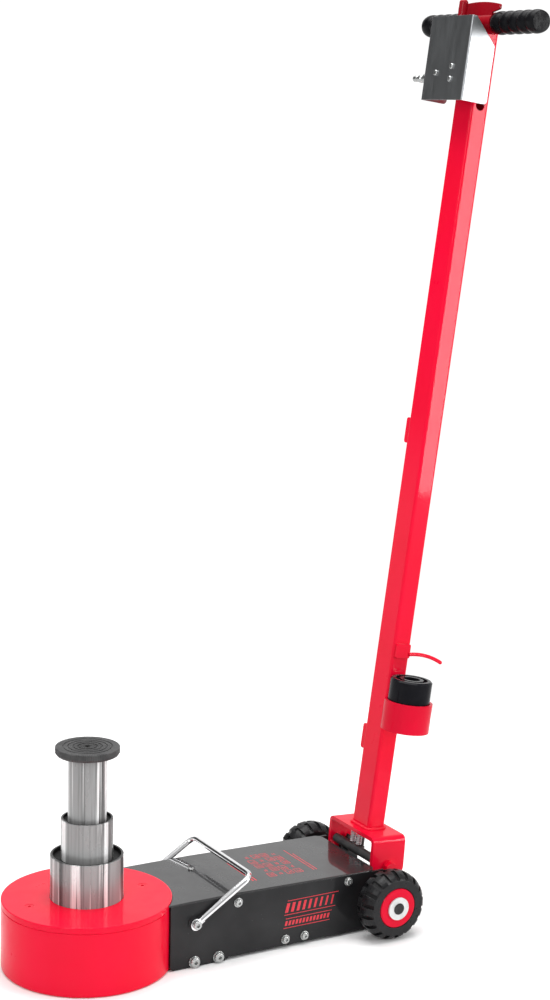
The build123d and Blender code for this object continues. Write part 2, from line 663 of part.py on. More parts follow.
def lock_lever():
    """Release lever: a pad against the tube, a tongue to the rod inside, and a finger behind the tube."""
    face = -TUBE_WIDTH / 2 - 0.4
    pad = slab((-12, 13), (face - 3.4, face), (LEVER_HEIGHT - 7, LEVER_HEIGHT + LEVER_SLOT + 1.5))
    pad = fillet(pad.edges().filter_by(Axis.Y), 3.0)
    lever = pad + slab((-9, -1), (face - 1, 3), (LEVER_HEIGHT - 4, LEVER_HEIGHT + 4))
    lever -= rod((LOCK_ROD_X, 0, LEVER_HEIGHT - 10), (LOCK_ROD_X, 0, LEVER_HEIGHT + 10), 4.0)
    y = face - 3.0
    path = ThreePointArc((11, y, LEVER_HEIGHT - 1), (42, y, LEVER_HEIGHT - 2.6), (71, y, LEVER_HEIGHT - 12.5))
    profile = Plane(origin=path @ 0, z_dir=path % 0) * Circle(2.9)
    finger = sweep(profile, path=path)
    tip = Pos(path @ 1) * Sphere(2.9)
    return HANDLE * (lever + finger + tip)


def crossbar():
    reach = GRIP_OUTER - 5.0
    start = (CROSSBAR_X, -reach, CROSSBAR_HEIGHT)
    return HANDLE * rod(start, (CROSSBAR_X, reach, CROSSBAR_HEIGHT), CROSSBAR_RADIUS)


def grip():
    """Near grip: moulded rubber with five finger ridges and a closed end."""
    valley = 14.9
    ridge = 16.9
    pitch = (GRIP_OUTER - GRIP_INNER) / GRIP_RIDGES
    waves = []
    for n in range(GRIP_RIDGES):
        y = GRIP_INNER + n * pitch
        waves.append(ThreePointArc((valley, y), (ridge, y + pitch / 2), (valley, y + pitch)))
    closing = Polyline((valley, GRIP_OUTER), (0, GRIP_OUTER), (0, GRIP_INNER), (valley, GRIP_INNER))
    body = revolve(make_face(Wire(waves + closing.edges())), Axis.Y)
    body -= rod((0, 0, 0), (0, GRIP_OUTER - 5, 0), CROSSBAR_RADIUS)
    placed = Pos(CROSSBAR_X, 0, CROSSBAR_HEIGHT) * mirror(body, about=Plane.XZ)
    return HANDLE * placed


def control_cover():
    """Folded sheet guard round the control valve."""
    half = COVER_HALF_WIDTH
    outer = slab((COVER_FRONT, COVER_REAR), (-half, half), (COVER_LOW, COVER_HIGH))
    folds = [e for e in outer.edges().filter_by(Axis.Z) if e.center().X < COVER_FRONT + 1]
    outer = fillet(folds, 2.2)
    toes = [e for e in outer.edges().filter_by(Axis.Y) if e.center().X > COVER_REAR - 1]
    outer = fillet([e for e in toes if e.center().Z < COVER_LOW + 1], 6.0)
    inside = half - COVER_SHEET
    inner = slab((COVER_FRONT + COVER_SHEET, COVER_REAR + 5), (-inside, inside), (COVER_LOW - 5, COVER_HIGH + 5))
    corner = [(-48.5, COVER_HIGH + 1), (COVER_REAR + 1, COVER_HIGH + 1), (COVER_REAR + 1, 1291.0)]
    cover = outer - inner - side_profile(corner, -60, 60)
    for y, z in CONTROL_SCREWS:
        cover -= rod((COVER_FRONT - 1, y, z), (COVER_FRONT + 5, y, z), 2.6)
    cover -= rod((INLET[0], 40, INLET[1]), (INLET[0], 60, INLET[1]), 5.2)
    return HANDLE * cover


def control_screws():
    screws = []
    for y, z in CONTROL_SCREWS:
        head = rod((COVER_FRONT - 2.6, y, z), (COVER_FRONT, y, z), 4.2)
        head = fillet(head.edges().sort_by(Axis.X)[0], 1.6)
        screws.append(HANDLE * (head + rod((COVER_FRONT, y, z), (-45, y, z), 2.5)))
    return Compound(screws)


def valve_block():
    """Air control valve body between the guard and the tube."""
    block = slab((COVER_FRONT + COVER_SHEET, -TUBE_DEPTH / 2), (-30, 30), (BLOCK_LOW, BLOCK_HIGH))
    block = chamfer(block.edges().filter_by(Axis.Z), 2.0)
    block -= rod((*PLUNGER, 1244), (*PLUNGER, BLOCK_HIGH), 4.0 + RUNNING_GAP)
    block -= rod((*KNOB, 1244), (*KNOB, BLOCK_HIGH), 5.0 + RUNNING_GAP)
    for y, z in CONTROL_SCREWS:
        block -= rod((COVER_FRONT, y, z), (-44.5, y, z), 2.5)
    return HANDLE * block


def air_inlet_nipple():
    """Quick-coupler nipple on the far side of the guard."""
    x, z = INLET
    outline = [
        (2.2, 30), (5.0, 30), (5.0, 52), (7.2, 52), (7.2, 60), (4.4, 60.5), (4.4, 66), (5.9, 67.5),
        (5.9, 72), (3.9, 74), (3.9, 79), (4.6, 80), (4.6, 87), (2.2, 87),
    ]
    nipple = revolve(make_face(Plane.XY * Polyline(*outline, close=True)), Axis.Y)
    return HANDLE * (Pos(x, 0, z) * nipple)


def control_paddle():
    """Lift paddle: a sleeve that rocks on the crossbar, a wide thumb plate and a tail over the plunger."""
    axis = (CROSSBAR_X, CROSSBAR_HEIGHT)
    sleeve = rod((axis[0], -34, axis[1]), (axis[0], 34, axis[1]), CROSSBAR_RADIUS + 3.0)
    tube_room = TUBE_WIDTH / 2 + 0.8
    sleeve -= slab((-30, 30), (-tube_room, tube_room), (axis[1] - 30, axis[1] - 7))
    edge = PADDLE_HALF_WIDTH
    right = [(34, 1335), (34, 1341), (edge, 1345), (edge, 1360)]
    left = [(-y, z) for y, z in reversed(right)]
    blade = front_profile(right + left, -11, -8)
    crown = rod((-12, 0, 1356.5 - 300), (-7, 0, 1356.5 - 300), 300.0)
    blade = blade & crown
    ends = [e for e in blade.edges().filter_by(Axis.X) if abs(e.center().Y) > edge - 1]
    blade = fillet(ends, 3.0)
    tail = slab((-36, -10), (-12, 0), (1322, 1328))
    bore = rod((axis[0], -60, axis[1]), (axis[0], 60, axis[1]), CROSSBAR_RADIUS + RUNNING_GAP)
    return HANDLE * (sleeve + blade + tail - bore)


def valve_plunger():
    top = 1321.7 - 4.0
    plunger = rod((*PLUNGER, 1255), (*PLUNGER, top), 4.0)
    return HANDLE * (plunger + Pos(*PLUNGER, top) * Sphere(4.0))


def release_knob():
    """Push rod with a domed end that lowers the ram."""
    stem = rod((*KNOB, 1258), (*KNOB, 1282), 5.0)
    knob = rod((*KNOB, 1281), (*KNOB, 1357.5), 6.5)
    knob = fillet(knob.edges().sort_by(Axis.Z)[-1], 5.0)
    return HANDLE * (stem + knob)


def carry_handle():
    """Bail of round bar, with an eye at each end."""
    y = BAIL_HALF_WIDTH
    path = FilletPolyline((9, -y, 0), (BAIL_REACH, -y, 0), (BAIL_REACH, y, 0), (9, y, 0), radius=13)
    profile = Plane(origin=path @ 0, z_dir=path % 0) * Circle(BAIL_ROD)
    bail = sweep(profile, path=path)
    for side in (-1, 1):
        inner, outer = sorted((side * 85.2, side * 92.0))
        bail += rod((0, inner, 0), (0, outer, 0), 8.6)
        bail += slab((4, 13), (inner, outer), (-BAIL_ROD, BAIL_ROD))
        bail -= rod((0, side * 80, 0), (0, side * 99, 0), 4.0 + RUNNING_GAP)
    return BAIL * bail


def mirrored(shape):
    return mirror(shape, about=Plane.XZ)


def all_nodes():
    near_plate = side_plate()
    near_tyre = tyre()
    near_rim = rim()
    near_grip = grip()
    return {
        "base_plate": base_plate(),
        "reservoir_shell": reservoir_shell(),
        "reservoir_lid": reservoir_lid(),
        "lid_screws": lid_screws(),
        "cylinder_barrel": cylinder_barrel(),
        "cylinder_gland": cylinder_gland(),
        "stage_1_tube": stage_tube(0),
        "stage_1_gland": stage_gland(0),
        "stage_1_seal": seal_groove(0, RUNNING_GAP),
        "stage_2_tube": stage_tube(1),
        "stage_2_gland": stage_gland(1),
        "stage_2_seal": seal_groove(1, RUNNING_GAP),
        "stage_3_rod": inner_rod(),
        "stage_3_seal": seal_groove(2, RUNNING_GAP),
        "saddle": saddle(),
        "manifold_block": manifold_block(),
        "release_valve": release_valve(),
        "side_plate_near": near_plate,
        "side_plate_far": mirrored(near_plate),
        "top_cover": top_cover(),
        "filler_plug": filler_plug(),
        "cover_screws": cover_screws(),
        "foot_bolts": foot_bolts(),
        "floor_pan": floor_pan(),
        "rear_cross_plate": rear_cross_plate(),
        "hinge_bracket": hinge_bracket(),
        "pivot_bolts": pivot_bolts(),
        "pivot_spacers": pivot_spacers(),
        "pump_block": pump_block(),
        "air_cylinder": air_cylinder(),
        "air_cylinder_cap": air_cylinder_cap(),
        "air_piston": air_piston(),
        "return_spring": return_spring(),
        "wheel_axle": wheel_axle(),
        "axle_spacers": axle_spacers(),
        "axle_washers": axle_washers(),
        "tyre_near": near_tyre,
        "rim_near": near_rim,
        "tyre_far": mirrored(near_tyre),
        "rim_far": mirrored(near_rim),
        "handle_yoke": yoke(),
        "handle_tube": handle_tube(),
        "hose_tabs": hose_tabs(),
        "extension_holder": extension_holder(),
        "extension_piece": extension_piece(),
        "lock_bar": lock_bar(),
        "lock_springs": lock_springs(),
        "lock_lever": lock_lever(),
        "crossbar": crossbar(),
        "grip_near": near_grip,
        "grip_far": mirrored(near_grip),
        "control_cover": control_cover(),
        "control_screws": control_screws(),
        "valve_block": valve_block(),
        "air_inlet_nipple": air_inlet_nipple(),
        "control_paddle": control_paddle(),
        "valve_plunger": valve_plunger(),
        "release_knob": release_knob(),
        "carry_handle": carry_handle(),
        "bail_bolts": bail_bolts(),
    }


os.makedirs("parts", exist_ok=True)
for node, shape in all_nodes().items():
    export_step(shape, f"parts/{node}.step")
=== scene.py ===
"""Looks of the air-hydraulic axle jack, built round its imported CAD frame.

Metres, +Z up, +X from the ram back to the wheels. The CAD nodes keep their shape and place. This script gives
them materials and adds the welds, springs and printed marks.
"""

import math

import bpy
from mathutils import Matrix, Vector


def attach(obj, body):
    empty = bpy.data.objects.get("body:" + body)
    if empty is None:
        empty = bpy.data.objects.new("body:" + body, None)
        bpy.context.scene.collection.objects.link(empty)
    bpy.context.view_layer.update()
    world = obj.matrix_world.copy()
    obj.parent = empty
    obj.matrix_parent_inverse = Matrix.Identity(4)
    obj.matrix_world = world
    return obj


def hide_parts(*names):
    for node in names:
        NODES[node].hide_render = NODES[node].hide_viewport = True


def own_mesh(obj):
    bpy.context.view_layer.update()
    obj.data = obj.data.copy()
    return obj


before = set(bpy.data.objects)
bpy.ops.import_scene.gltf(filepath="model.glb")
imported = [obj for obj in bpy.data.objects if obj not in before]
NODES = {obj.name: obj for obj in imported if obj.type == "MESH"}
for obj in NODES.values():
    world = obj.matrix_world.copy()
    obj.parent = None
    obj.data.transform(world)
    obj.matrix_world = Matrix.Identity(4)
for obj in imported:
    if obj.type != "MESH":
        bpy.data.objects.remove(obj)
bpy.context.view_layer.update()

MM = 0.001

# The handle's own axes: local x rearwards, local y along Y, local z up the tube
LEAN = math.radians(7.36)
HANDLE_FOOT = Vector((452.06, 0, 8.9)) * MM
HANDLE_UP = Vector((math.sin(LEAN), 0, math.cos(LEAN)))
HANDLE_BACK = Vector((math.cos(LEAN), 0, -math.sin(LEAN)))

# Everything below is in millimetres, along the handle's own axes where it belongs to the handle

# Section of the handle's tube, and how far outside it the weld at its foot runs
TUBE_DEPTH = 30.0
TUBE_WIDTH = 45.0
TUBE_CORNER = 4.25
FOOT_WELD_OFFSET = 0.75
FOOT_WELD_RISE = 0.6

# Welds of the crossbar, the extension's holder and the hose tabs: place, half length or ends, and bead radius
CROSSBAR_X = 1.0
CROSSBAR_WELD_OFFSET = 6.4
CROSSBAR_WELD_HEIGHT = 1314.9
CROSSBAR_WELD_HALF = 21.0
HOLDER_WELD_X = 9.4
HOLDER_WELD_Y = -23.0
HOLDER_WELD_ENDS = (289.5, 330.0)
TAB_HEIGHTS = (256.0, 726.0)
TAB_WELD_X = -9.9
TAB_WELD_Y = 23.2
TAB_WELD_HALF = 16.0
FOOT_BEAD = 3.0
CROSSBAR_BEAD = 1.5
HOLDER_BEAD = 2.1
TAB_BEAD = 1.2

# Lock springs between the lock bar and the yoke: their place across the handle and their ends up it
LOCK_SPRING_X = -18.3
LOCK_SPRING_Y = 8.5
LOCK_SPRING_ENDS = (94.0, 114.8)

# The pump's return spring between its block and the air piston: its ends along X, and the height of the
# pump's axis
RETURN_SPRING_ENDS = (254.2, 311.8)
PUMP_AXIS_Z = 50.0

# The top face of the yoke
YOKE_LEAN = math.radians(3.5)
YOKE_TOP = Vector((467, 0, 130.7)) * MM
YOKE_UP = Vector((math.sin(YOKE_LEAN), 0, math.cos(YOKE_LEAN)))

# Printed faces: the outside of the side plates, and the cover, which slopes down behind its level front
SIDE_PLATE_Y = 83.3
COVER_LEVEL_X = 200.0
COVER_LEVEL_Z = 98.5
COVER_REAR_X = 431.5
COVER_REAR_Z = 93.6
PRINT_LIFT = 0.06


def on_handle(x, y, z):
    """Place in the handle's axes, in millimetres, as a point of the frame."""
    return HANDLE_FOOT + HANDLE_BACK * (x * MM) + Vector((0, y * MM, 0)) + HANDLE_UP * (z * MM)


# ---------------------------------------------------------------- materials


class Surface:
    """A procedural material whose colour, roughness and relief all vary over the surface."""

    def __init__(self, name, color, roughness, metallic=0.0, coat=0.0, coat_roughness=0.04, anisotropic=0.0,
                 specular=0.5, coat_ior=1.5):
        self.block = bpy.data.materials.new(name)
        self.block.use_nodes = True
        self.tree = self.block.node_tree
        self.shader = self.tree.nodes["Principled BSDF"]
        self.shader.inputs["Metallic"].default_value = metallic
        self.shader.inputs["Specular IOR Level"].default_value = specular
        self.shader.inputs["Coat Weight"].default_value = coat
        self.shader.inputs["Coat IOR"].default_value = coat_ior
        self.shader.inputs["Coat Roughness"].default_value = coat_roughness
        self.shader.inputs["Anisotropic"].default_value = anisotropic
        self.shader.inputs["Base Color"].default_value = (*color, 1)
        self.color = None
        self.base = (*color, 1)
        self.roughness = roughness
        self.place = self.node("TexCoord").outputs["Object"]
        self.height = None

    def node(self, kind, **settings):
        made = self.tree.nodes.new("ShaderNode" + kind)
        for key, value in settings.items():
            setattr(made, key, value)
        return made

    def link(self, source, target):
        self.tree.links.new(source, target)

    def noise(self, size, detail=4.0, stretch=(1, 1, 1)):
        """Noise from 0 to 1 with features of the given size in metres."""
        mapping = self.node("Mapping")
        mapping.inputs["Scale"].default_value = stretch
        self.link(self.place, mapping.inputs["Vector"])
        noise = self.node("TexNoise")
        noise.inputs["Scale"].default_value = 1 / size
        noise.inputs["Detail"].default_value = detail
        noise.inputs["Roughness"].default_value = 0.55
        self.link(mapping.outputs["Vector"], noise.inputs["Vector"])
        return noise.outputs["Fac"]

    def remap(self, value, low, high, to_low, to_high):
        """Moves values from one range to another, and stops at its ends."""
        ramp = self.node("MapRange")
        for key, number in (("From Min", low), ("From Max", high), ("To Min", to_low), ("To Max", to_high)):
            ramp.inputs[key].default_value = number
        self.link(value, ramp.inputs["Value"])
        return ramp.outputs["Result"]

    def operate(self, operation, first, second=None):
        """One arithmetic step on sockets or plain numbers."""
        made = self.node("Math", operation=operation)
        for socket, value in zip(made.inputs, (first, second)):
            if isinstance(value, (int, float)):
                socket.default_value = value
            elif value is not None:
                self.link(value, socket)
        return made.outputs[0]

    def tint(self, mask, color):
        """Blends the colour so far towards another one where the mask is 1."""
        mix = self.node("Mix", data_type="RGBA")
        if self.color is None:
            mix.inputs[6].default_value = self.base
        else:
            self.link(self.color, mix.inputs[6])
        mix.inputs[7].default_value = (*color, 1)
        self.link(mask, mix.inputs[0])
        self.color = mix.outputs[2]
        return self

    def mottle(self, size, color, amount):
        """Slow drift of the colour."""
        return self.tint(self.remap(self.noise(size, 3.0), 0.35, 0.7, 0, amount), color)

    def specks(self, size, color, amount, threshold=0.68):
        """Small sharp-edged flecks, such as dust or pits."""
        return self.tint(self.remap(self.noise(size, 2.0), threshold, threshold + 0.04, 0, amount), color)

    def worn_edges(self, radius, color, amount):
        """Paler wear along sharp edges, broken up by noise."""
        bevel = self.node("Bevel", samples=4)
        bevel.inputs["Radius"].default_value = radius
        dot = self.node("VectorMath", operation="DOT_PRODUCT")
        self.link(bevel.outputs["Normal"], dot.inputs[0])
        self.link(self.node("NewGeometry").outputs["Normal"], dot.inputs[1])
        edge = self.remap(dot.outputs["Value"], 0.99, 0.80, 0, amount)
        broken = self.remap(self.noise(0.012, 4.0), 0.42, 0.62, 0.15, 1)
        return self.tint(self.operate("MULTIPLY", edge, broken), color)

    def smudges(self, size, amount, stretch=(1, 1, 1)):
        """Roughness that wanders by plus or minus the amount."""
        low = max(0.02, self.roughness - amount)
        wander = self.remap(self.noise(size, 5.0, stretch), 0.3, 0.7, low, self.roughness + amount)
        self.link(wander, self.shader.inputs["Roughness"])
        return self

    def relief(self, size, depth, stretch=(1, 1, 1), detail=3.0):
        """Adds noise relief of the given depth in metres."""
        raised = self.operate("MULTIPLY", self.noise(size, detail, stretch), depth)
        self.height = raised if self.height is None else self.operate("ADD", self.height, raised)
        return self

    def dark_mouth(self, color):
        """Tints the top rim and the inner wall of an upright tube round the Z axis: on the top rim a dark
        finish, on the inner wall painted shade inside the mouth.
        """
        normal = self.node("NewGeometry").outputs["Normal"]
        flat = self.node("VectorMath", operation="MULTIPLY")
        self.link(self.place, flat.inputs[0])
        flat.inputs[1].default_value = (1, 1, 0)
        outward = self.node("VectorMath", operation="NORMALIZE")
        self.link(flat.outputs["Vector"], outward.inputs[0])
        dot = self.node("VectorMath", operation="DOT_PRODUCT")
        self.link(outward.outputs["Vector"], dot.inputs[0])
        self.link(normal, dot.inputs[1])
        return self.tint(self.remap(dot.outputs["Value"], 0.80, 0.55, 0, 1), color)

    def knurl(self, teeth, depth):
        """Adds upright teeth round the Z axis."""
        axes = self.node("SeparateXYZ")
        self.link(self.place, axes.inputs[0])
        angle = self.operate("ARCTAN2", axes.outputs["Y"], axes.outputs["X"])
        wave = self.operate("SINE", self.operate("MULTIPLY", angle, teeth))
        raised = self.operate("MULTIPLY", wave, depth)
        self.height = raised if self.height is None else self.operate("ADD", self.height, raised)
        return self

    def done(self, soften=0.0006):
        """Joins colour, relief and softened edges to the shader."""
        bevel = self.node("Bevel", samples=4)
        bevel.inputs["Radius"].default_value = soften
        normal = bevel.outputs["Normal"]
        if self.height is not None:
            bump = self.node("Bump")
            bump.inputs["Strength"].default_value = 1.0
            bump.inputs["Distance"].default_value = 1.0
            self.link(self.height, bump.inputs["Height"])
            self.link(normal, bump.inputs["Normal"])
            normal = bump.outputs["Normal"]
        self.link(normal, self.shader.inputs["Normal"])
        if self.color is not None:
            self.link(self.color, self.shader.inputs["Base Color"])
        return self.block


def make_materials():
    """The materials by name. Sizes, depths and radii are in metres."""
    red = (0.75, 0.002, 0.031)
    made = {}

    paint = Surface("red enamel", red, 0.34, coat=0.45, coat_roughness=0.05, specular=0.04, coat_ior=1.3)
    paint.mottle(0.15, (0.66, 0.003, 0.016), 0.5).worn_edges(0.0006, (0.92, 0.10, 0.12), 0.3)
    paint.specks(0.0018, (0.86, 0.06, 0.08), 0.25, 0.77)
    made["red"] = paint.smudges(0.03, 0.07).relief(0.0025, 0.000005).done(0.0008)

    # Rims and the extension's holder: a darker copy of the red enamel, painted shade for places that get less
    # light, with a duller coat
    rim = Surface("dull red enamel with painted shade", (0.62, 0.002, 0.025), 0.40, coat=0.3, coat_roughness=0.08, specular=0.04,
                  coat_ior=1.3)
    rim.mottle(0.05, (0.50, 0.003, 0.018), 0.5).worn_edges(0.0006, (0.80, 0.08, 0.10), 0.3)
    made["rim"] = rim.smudges(0.02, 0.08).relief(0.0022, 0.000006).done(0.0008)

    # Paddle and release knob: a much darker copy of the red enamel, painted shade for the handle's head,
    # which gets less light
    shaded_dark_red = Surface("dark red enamel with painted shade", (0.27, 0.002, 0.009), 0.36, coat=0.35, coat_roughness=0.08,
                   specular=0.08, coat_ior=1.3)
    shaded_dark_red.mottle(0.05, (0.20, 0.002, 0.007), 0.5).worn_edges(0.0005, (0.45, 0.04, 0.05), 0.3)
    made["shaded_dark_red"] = shaded_dark_red.smudges(0.02, 0.08).relief(0.0020, 0.000005).done(0.0008)

    weld = Surface("painted weld", red, 0.38, coat=0.4, coat_roughness=0.12, specular=0.2, coat_ior=1.3)
    weld.mottle(0.01, (0.62, 0.003, 0.012), 0.6)
    made["weld"] = weld.smudges(0.004, 0.10).relief(0.0016, 0.00022).done(0.0003)

    black = Surface("black enamel", (0.010, 0.010, 0.011), 0.36, coat=0.42, coat_roughness=0.08,
                    specular=0.08, coat_ior=1.3)
    black.mottle(0.10, (0.030, 0.030, 0.031), 0.7).worn_edges(0.0006, (0.30, 0.30, 0.30), 0.45)
    black.specks(0.003, (0.10, 0.10, 0.10), 0.4, 0.73)
    made["black"] = black.smudges(0.04, 0.06).relief(0.0012, 0.000012).done(0.0008)

    # The cover's black is a lighter copy of the side plates' black enamel: painted light for its top, which
    # faces up into the light. Its coat is also stronger.
    cover = Surface("cover enamel", (0.016, 0.016, 0.017), 0.30, coat=0.70, coat_roughness=0.035,
                    specular=0.08)
    cover.mottle(0.12, (0.026, 0.026, 0.027), 0.7).worn_edges(0.0006, (0.30, 0.30, 0.30), 0.35)
    cover.specks(0.0016, (0.07, 0.07, 0.07), 0.2, 0.77)
    made["cover"] = cover.smudges(0.04, 0.08).relief(0.0030, 0.000004).done(0.0008)

    mouth = Surface("oily ring", (0.008, 0.008, 0.008), 0.55, specular=0.15)
    mouth.mottle(0.006, (0.016, 0.016, 0.016), 0.7)
    made["mouth"] = mouth.smudges(0.006, 0.12).relief(0.0010, 0.00002).done(0.0005)

    oxide = Surface("black oxide", (0.045, 0.045, 0.047), 0.46, metallic=0.35)
    oxide.mottle(0.02, (0.085, 0.083, 0.080), 0.7).worn_edges(0.0007, (0.32, 0.32, 0.32), 0.6)
    made["oxide"] = oxide.smudges(0.01, 0.10).relief(0.0009, 0.00003).done(0.0006)

    gloss = Surface("glossy oxide", (0.003, 0.003, 0.005), 0.20, coat=0.10, coat_roughness=0.05,
                    specular=0.05, coat_ior=1.4)
    gloss.mottle(0.03, (0.009, 0.009, 0.011), 0.7).worn_edges(0.0006, (0.12, 0.12, 0.12), 0.5)
    made["gloss"] = gloss.smudges(0.01, 0.06).relief(0.0009, 0.000012).done(0.0006)

    saddle = Surface("cast saddle", (0.042, 0.042, 0.043), 0.62, metallic=0.2, specular=0.3)
    saddle.mottle(0.012, (0.08, 0.08, 0.08), 0.7).worn_edges(0.0008, (0.22, 0.22, 0.22), 0.5)
    made["saddle"] = saddle.smudges(0.006, 0.12).relief(0.0012, 0.00012).knurl(110, 0.00022).done(0.0005)

    chrome = Surface("chrome", (0.86, 0.86, 0.87), 0.06, metallic=1.0)
    chrome.mottle(0.03, (0.72, 0.72, 0.74), 0.5)
    made["chrome"] = chrome.smudges(0.008, 0.035).relief(0.004, 0.000008).done(0.0006)

    ram = Surface("ground ram", (0.29, 0.29, 0.29), 0.30, metallic=0.12, anisotropic=0.5, specular=0.45)
    # The next two tints, broad dark and bright upright streaks, are painted reflections along the ram
    ram.tint(ram.remap(ram.noise(0.026, 2.0, (1, 1, 0.015)), 0.47, 0.55, 0, 0.92), (0.06, 0.06, 0.06))
    ram.tint(ram.remap(ram.noise(0.014, 3.0, (1, 1, 0.02)), 0.55, 0.61, 0, 0.9), (0.85, 0.85, 0.85))
    ram.tint(ram.remap(ram.noise(0.003, 3.0, (1, 1, 0.02)), 0.50, 0.72, 0, 0.45), (0.06, 0.06, 0.06))
    # Dark top rims of the stages, and dark inner walls that are painted shade in the gaps between the stages
    ram.dark_mouth((0.010, 0.010, 0.010))
    ram.smudges(0.02, 0.08, (1, 1, 0.3)).relief(0.0006, 0.000004, (0.08, 0.08, 1))
    made["ram"] = ram.done(0.0006)

    machined = Surface("machined steel", (0.42, 0.42, 0.43), 0.34, metallic=1.0)
    machined.mottle(0.02, (0.30, 0.30, 0.30), 0.6)
    made["machined"] = machined.smudges(0.006, 0.10).relief(0.0005, 0.00001).done(0.0005)

    axle = Surface("dark axle", (0.020, 0.021, 0.022), 0.42, metallic=0.3, specular=0.15)
    axle.mottle(0.01, (0.07, 0.07, 0.07), 0.5)
    made["axle"] = axle.smudges(0.004, 0.10).relief(0.0006, 0.00002).done(0.0006)

    zinc = Surface("zinc plate", (0.46, 0.47, 0.47), 0.24, metallic=0.9)
    zinc.mottle(0.006, (0.32, 0.33, 0.32), 0.7)
    made["zinc"] = zinc.smudges(0.004, 0.09).relief(0.0012, 0.00002).done(0.0005)

    washer = Surface("pale washer", (0.62, 0.63, 0.63), 0.50, metallic=0.25)
    washer.mottle(0.008, (0.46, 0.47, 0.47), 0.7)
    made["washer"] = washer.smudges(0.005, 0.10).relief(0.0008, 0.00002).done(0.0005)

    guard = Surface("brushed guard", (0.31, 0.32, 0.33), 0.33, metallic=1.0, anisotropic=0.3)
    guard.tint(guard.remap(guard.noise(0.002, 3.0, (1, 1, 0.03)), 0.4, 0.7, 0, 0.07), (0.26, 0.27, 0.28))
    guard.mottle(0.03, (0.28, 0.29, 0.30), 0.3).worn_edges(0.0004, (0.8, 0.8, 0.8), 0.2)
    guard.smudges(0.01, 0.03, (1, 1, 0.15)).relief(0.0007, 0.0000015, (1, 1, 0.04))
    made["guard"] = guard.done(0.0006)

    alloy = Surface("machined alloy", (0.60, 0.60, 0.61), 0.36, metallic=1.0)
    alloy.mottle(0.02, (0.46, 0.46, 0.47), 0.6)
    made["alloy"] = alloy.smudges(0.006, 0.10).relief(0.0006, 0.00002).done(0.0006)

    cast = Surface("cast iron", (0.09, 0.09, 0.095), 0.62, metallic=0.4)
    cast.mottle(0.01, (0.15, 0.15, 0.15), 0.7)
    made["cast"] = cast.smudges(0.006, 0.12).relief(0.0018, 0.00025).done(0.0008)

    rubber = Surface("moulded rubber", (0.003, 0.003, 0.004), 0.28, specular=0.06)
    rubber.mottle(0.02, (0.010, 0.010, 0.011), 0.7).specks(0.002, (0.05, 0.05, 0.05), 0.2, 0.75)
    made["rubber"] = rubber.smudges(0.008, 0.10).relief(0.0007, 0.00004).done(0.0010)

    tyre = Surface("tyre rubber", (0.006, 0.006, 0.007), 0.34, specular=0.22)
    tyre.mottle(0.02, (0.013, 0.013, 0.014), 0.8).worn_edges(0.0012, (0.06, 0.06, 0.06), 0.9)
    tyre.specks(0.0018, (0.12, 0.11, 0.10), 0.25, 0.70)
    made["tyre"] = tyre.smudges(0.006, 0.12).relief(0.0010, 0.00009).done(0.0012)

    spring = Surface("spring wire", (0.84, 0.85, 0.86), 0.32, metallic=0.7)
    spring.mottle(0.004, (0.50, 0.50, 0.52), 0.7)
    made["spring"] = spring.smudges(0.003, 0.08).relief(0.0006, 0.000012).done(0.0002)

    print_red = Surface("printed red", (0.62, 0.012, 0.030), 0.45)
    print_red.mottle(0.006, (0.45, 0.010, 0.020), 0.6).specks(0.0012, (0.12, 0.02, 0.02), 0.6, 0.70)
    made["print"] = print_red.smudges(0.004, 0.10).relief(0.0006, 0.00001).done(0.0001)

    seal = Surface("soft seal", (0.03, 0.03, 0.03), 0.5)
    seal.mottle(0.006, (0.05, 0.05, 0.05), 0.6)
    made["seal"] = seal.smudges(0.004, 0.10).relief(0.0008, 0.00002).done(0.0004)
    return made


NODE_MATERIALS = {
    "red": ["reservoir_shell", "reservoir_lid", "handle_yoke", "handle_tube", "hose_tabs", "lock_lever",
            "crossbar", "pivot_bolts", "lid_screws"],
    "rim": ["rim_near", "rim_far", "extension_holder"],
    "shaded_dark_red": ["control_paddle", "release_knob"],
    "black": ["side_plate_near", "side_plate_far", "floor_pan", "rear_cross_plate", "hinge_bracket"],
    "cover": ["top_cover"],
    "gloss": ["extension_piece"],
    "oxide": ["lock_bar"],
    "mouth": ["stage_1_gland", "stage_2_gland"],
    "saddle": ["saddle"],
    "chrome": ["carry_handle"],
    "ram": ["stage_1_tube", "stage_2_tube", "stage_3_rod"],
    "machined": ["cylinder_barrel", "cylinder_gland", "air_piston", "valve_plunger"],
    "axle": ["wheel_axle"],
    "zinc": ["filler_plug", "cover_screws", "foot_bolts", "bail_bolts", "control_screws", "air_inlet_nipple",
             "axle_spacers", "pivot_spacers", "release_valve"],
    "washer": ["axle_washers"],
    "guard": ["control_cover"],
    "alloy": ["air_cylinder", "air_cylinder_cap", "valve_block"],
    "cast": ["base_plate", "manifold_block", "pump_block"],
    "rubber": ["grip_near", "grip_far"],
    "tyre": ["tyre_near", "tyre_far"],
    "spring": ["lock_springs", "return_spring"],
    "seal": ["stage_1_seal", "stage_2_seal", "stage_3_seal"],
}


def dress(obj, material):
    """Gives the object one material."""
    obj.data.materials.clear()
    obj.data.materials.append(material)


# ---------------------------------------------------------------- added pieces


def mesh_piece(name, points, faces, material, body, smooth=True):
    """Makes a mesh from points of the frame, and lets it ride on a CAD body."""
    mesh = bpy.data.meshes.new(name)
    mesh.from_pydata([tuple(p) for p in points], [], faces)
    mesh.update()
    mesh.polygons.foreach_set("use_smooth", [smooth] * len(mesh.polygons))
    obj = bpy.data.objects.new(name, mesh)
    bpy.context.scene.collection.objects.link(obj)
    dress(obj, material)
    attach(obj, body)
    return obj


